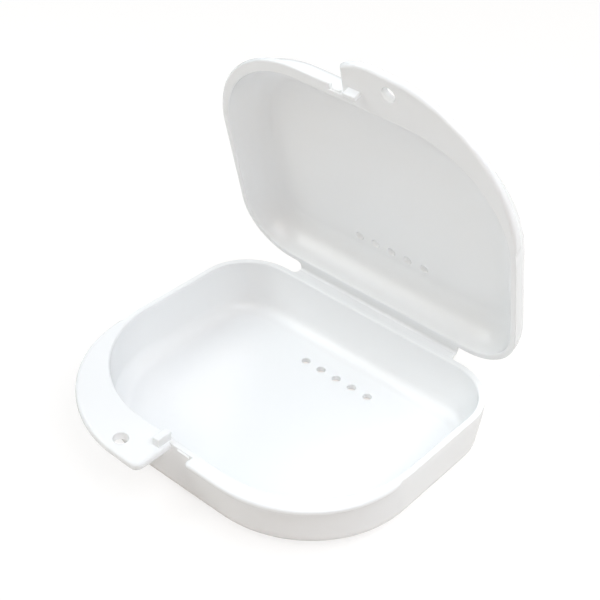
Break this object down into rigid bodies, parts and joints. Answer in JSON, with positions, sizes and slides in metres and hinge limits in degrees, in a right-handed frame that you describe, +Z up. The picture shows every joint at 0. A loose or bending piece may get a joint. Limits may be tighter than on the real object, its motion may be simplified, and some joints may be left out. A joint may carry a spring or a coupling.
{
  "type": "retainer case",
  "caption": "Flat hinged case for a dental retainer, moulded in one piece and standing open: vented tray and lid, living hinge, thumb tabs with lanyard holes, snap catches.",
  "frame": {"origin": "middle of the tray's flat bottom, halfway between the outsides of its front and back walls at the rim", "axes": "+Z up out of the tray, +Y towards the hinge, +X to the right as seen from the front. The lid is stored open by 74.1 degrees from shut."},
  "size_m": [0.0802, 0.0825, 0.0872],
  "materials": {
    "white_plastic": "glossy white polypropylene, slightly translucent where thin"
  },
  "bodies": {
    "base": {"base_tray": "white_plastic", "base_front_lip": "white_plastic", "base_thumb_tab": "white_plastic", "base_catch": "white_plastic", "base_hinge_leaf": "white_plastic", "hinge_web": "white_plastic"},
    "lid": {"lid_shell": "white_plastic", "lid_front_lip": "white_plastic", "lid_thumb_tab": "white_plastic", "lid_catch": "white_plastic", "lid_hinge_leaf": "white_plastic"}
  },
  "joints": [
    {"name": "lid_hinge", "type": "hinge", "parent": "base", "child": "lid", "pos_m": [0, 0.03435, 0.0148], "axis": [-1, 0, 0], "range_deg": [-74.1, 105.9], "deforming": ["hinge_web"]}
  ]
}
